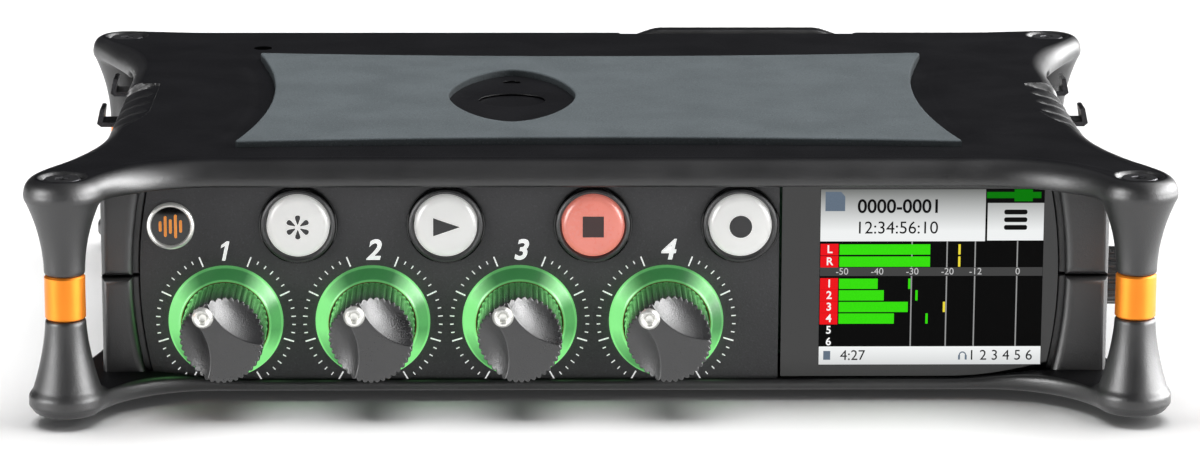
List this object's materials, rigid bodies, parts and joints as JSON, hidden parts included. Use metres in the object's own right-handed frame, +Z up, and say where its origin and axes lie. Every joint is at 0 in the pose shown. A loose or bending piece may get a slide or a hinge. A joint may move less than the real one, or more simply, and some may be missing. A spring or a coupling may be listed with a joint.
{
  "type": "portable audio recorder",
  "caption": "Battery-powered field recorder: waisted cast body on corner posts, ringed gain knobs, transport buttons, colour display, side jacks and a rear battery sled.",
  "frame": {"origin": "centre of the footprint, on the plane of the foot pad that the recorder rests on", "axes": "+Z up; the control panel faces -Y, so +X is to the right of someone facing it; the battery sled is at +Y"},
  "size_m": [0.16, 0.1186, 0.036],
  "materials": {
    "shell_black": "satin black coat over die-cast metal",
    "panel_black": "fine-grained matte black coat",
    "pad_grey": "matte grey elastomer sheet",
    "foot_rubber": "matte black rubber sheet",
    "ring_orange": "orange anodised, satin",
    "steel": "turned steel",
    "screw_black": "black oxide",
    "bright_chrome": "polished",
    "badge_black": "glossy domed resin",
    "knob_plastic": "fine-grained moulded plastic",
    "light_green": "translucent, lit from behind",
    "button_white": "translucent white, satin",
    "button_red": "translucent red, lit from behind",
    "bezel_black": "semi-gloss black",
    "window_black": "polished smoked window",
    "display_grey": "moulded frame of the display",
    "board_green": "solder-masked circuit board",
    "cable_amber": "flexible printed circuit",
    "case_grey": "moulded housing",
    "connector_black": "glass-filled nylon",
    "latch_metal": "nickel-plated sheet",
    "port_metal": "nickel-plated shell",
    "cell_jacket": "printed jacket, left plain",
    "card_plastic": "moulded plastic"
  },
  "bodies": {
    "recorder": {"top_shell": "shell_black", "bottom_shell": "shell_black", "front_panel": "panel_black", "left_panel": "panel_black", "right_panel": "panel_black", "rear_panel": "panel_black", "top_pad": "pad_grey", "bottom_pad": "foot_rubber", "post_rings": "ring_orange", "post_studs": "steel", "post_screws": "screw_black", "thread_inserts": "steel", "badge_ring": "bright_chrome", "badge_face": "badge_black", "encoder_bodies": "case_grey", "light_rings": "light_green", "button_bezels": "bezel_black", "switch_bodies": "case_grey", "display_window": "window_black", "display_module": "display_grey", "front_board": "board_green", "main_board": "board_green", "board_screws": "steel", "ribbon_cable": "cable_amber", "slate_microphone": "steel", "combo_jacks": "connector_black", "mini_jacks": "connector_black", "usb_port": "port_metal", "timecode_port": "port_metal", "power_switch": "case_grey", "battery_contacts": "latch_metal", "contact_block": "case_grey", "sd_socket": "port_metal"},
    "gain_rotor_1": {"encoder_rotor_1": "steel"},
    "gain_knob_1": {"knob_1": "knob_plastic", "knob_pointer_1": "bright_chrome"},
    "gain_rotor_2": {"encoder_rotor_2": "steel"},
    "gain_knob_2": {"knob_2": "knob_plastic", "knob_pointer_2": "bright_chrome"},
    "gain_rotor_3": {"encoder_rotor_3": "steel"},
    "gain_knob_3": {"knob_3": "knob_plastic", "knob_pointer_3": "bright_chrome"},
    "gain_rotor_4": {"encoder_rotor_4": "steel"},
    "gain_knob_4": {"knob_4": "knob_plastic", "knob_pointer_4": "bright_chrome"},
    "star_button": {"button_star": "button_white"},
    "play_button": {"button_play": "button_white"},
    "stop_button": {"button_stop": "button_red"},
    "record_button": {"button_record": "button_white"},
    "phones_rotor": {"headphone_rotor": "steel"},
    "phones_knob": {"headphone_knob": "knob_plastic"},
    "latch_1": {"jack_latch_1": "latch_metal"},
    "latch_2": {"jack_latch_2": "latch_metal"},
    "latch_3": {"jack_latch_3": "latch_metal"},
    "latch_4": {"jack_latch_4": "latch_metal"},
    "power_tab": {"power_slider": "knob_plastic"},
    "sled": {"battery_sled": "connector_black", "battery_cells": "cell_jacket"},
    "sled_release": {"sled_latch": "shell_black"},
    "card": {"sd_card": "card_plastic"}
  },
  "joints": [
    {"name": "gain_turn_1", "type": "hinge", "parent": "recorder", "child": "gain_rotor_1", "pos_m": [-0.0531, -0.03986, 0.01125], "axis": [0, 1, 0], "range_deg": [-116.2, 183.8]},
    {"name": "gain_push_1", "type": "slide", "parent": "gain_rotor_1", "child": "gain_knob_1", "axis": [0, 1, 0], "range_m": [0, 0.0005], "stiffness_N_per_m": 400},
    {"name": "gain_turn_2", "type": "hinge", "parent": "recorder", "child": "gain_rotor_2", "pos_m": [-0.03225, -0.03986, 0.01125], "axis": [0, 1, 0], "range_deg": [-119.5, 180.5]},
    {"name": "gain_push_2", "type": "slide", "parent": "gain_rotor_2", "child": "gain_knob_2", "axis": [0, 1, 0], "range_m": [0, 0.0005], "stiffness_N_per_m": 400},
    {"name": "gain_turn_3", "type": "hinge", "parent": "recorder", "child": "gain_rotor_3", "pos_m": [-0.0114, -0.03986, 0.01125], "axis": [0, 1, 0], "range_deg": [-117.4, 182.6]},
    {"name": "gain_push_3", "type": "slide", "parent": "gain_rotor_3", "child": "gain_knob_3", "axis": [0, 1, 0], "range_m": [0, 0.0005], "stiffness_N_per_m": 400},
    {"name": "gain_turn_4", "type": "hinge", "parent": "recorder", "child": "gain_rotor_4", "pos_m": [0.00945, -0.03986, 0.01125], "axis": [0, 1, 0], "range_deg": [-110.3, 189.7]},
    {"name": "gain_push_4", "type": "slide", "parent": "gain_rotor_4", "child": "gain_knob_4", "axis": [0, 1, 0], "range_m": [0, 0.0005], "stiffness_N_per_m": 400},
    {"name": "star_press", "type": "slide", "parent": "recorder", "child": "star_button", "axis": [0, 1, 0], "range_m": [0, 0.0005], "stiffness_N_per_m": 300},
    {"name": "play_press", "type": "slide", "parent": "recorder", "child": "play_button", "axis": [0, 1, 0], "range_m": [0, 0.0005], "stiffness_N_per_m": 300},
    {"name": "stop_press", "type": "slide", "parent": "recorder", "child": "stop_button", "axis": [0, 1, 0], "range_m": [0, 0.0005], "stiffness_N_per_m": 300},
    {"name": "record_press", "type": "slide", "parent": "recorder", "child": "record_button", "axis": [0, 1, 0], "range_m": [0, 0.0005], "stiffness_N_per_m": 300},
    {"name": "phones_turn", "type": "hinge", "parent": "recorder", "child": "phones_rotor", "pos_m": [0.0692, -0.031, 0.0152], "axis": [-1, 0, 0], "continuous": true},
    {"name": "phones_push", "type": "slide", "parent": "phones_rotor", "child": "phones_knob", "axis": [-1, 0, 0], "range_m": [0, 0.0005], "stiffness_N_per_m": 400},
    {"name": "latch_press_1", "type": "slide", "parent": "recorder", "child": "latch_1", "axis": [1, 0, 0], "range_m": [0, 0.0015], "stiffness_N_per_m": 300},
    {"name": "latch_press_2", "type": "slide", "parent": "recorder", "child": "latch_2", "axis": [1, 0, 0], "range_m": [0, 0.0015], "stiffness_N_per_m": 300},
    {"name": "latch_press_3", "type": "slide", "parent": "recorder", "child": "latch_3", "axis": [-1, 0, 0], "range_m": [0, 0.0015], "stiffness_N_per_m": 300},
    {"name": "latch_press_4", "type": "slide", "parent": "recorder", "child": "latch_4", "axis": [-1, 0, 0], "range_m": [0, 0.0015], "stiffness_N_per_m": 300},
    {"name": "power_slide", "type": "slide", "parent": "recorder", "child": "power_tab", "axis": [0, 1, 0], "range_m": [0, 0.004]},
    {"name": "sled_slide", "type": "slide", "parent": "recorder", "child": "sled", "axis": [0, 1, 0], "range_m": [0, 0.056]},
    {"name": "sled_release_press", "type": "slide", "parent": "sled", "child": "sled_release", "axis": [0, 0, -1], "range_m": [0, 0.0015], "stiffness_N_per_m": 500},
    {"name": "card_slide", "type": "slide", "parent": "recorder", "child": "card", "axis": [0, 1, 0], "range_m": [0, 0.034]}
  ]
}
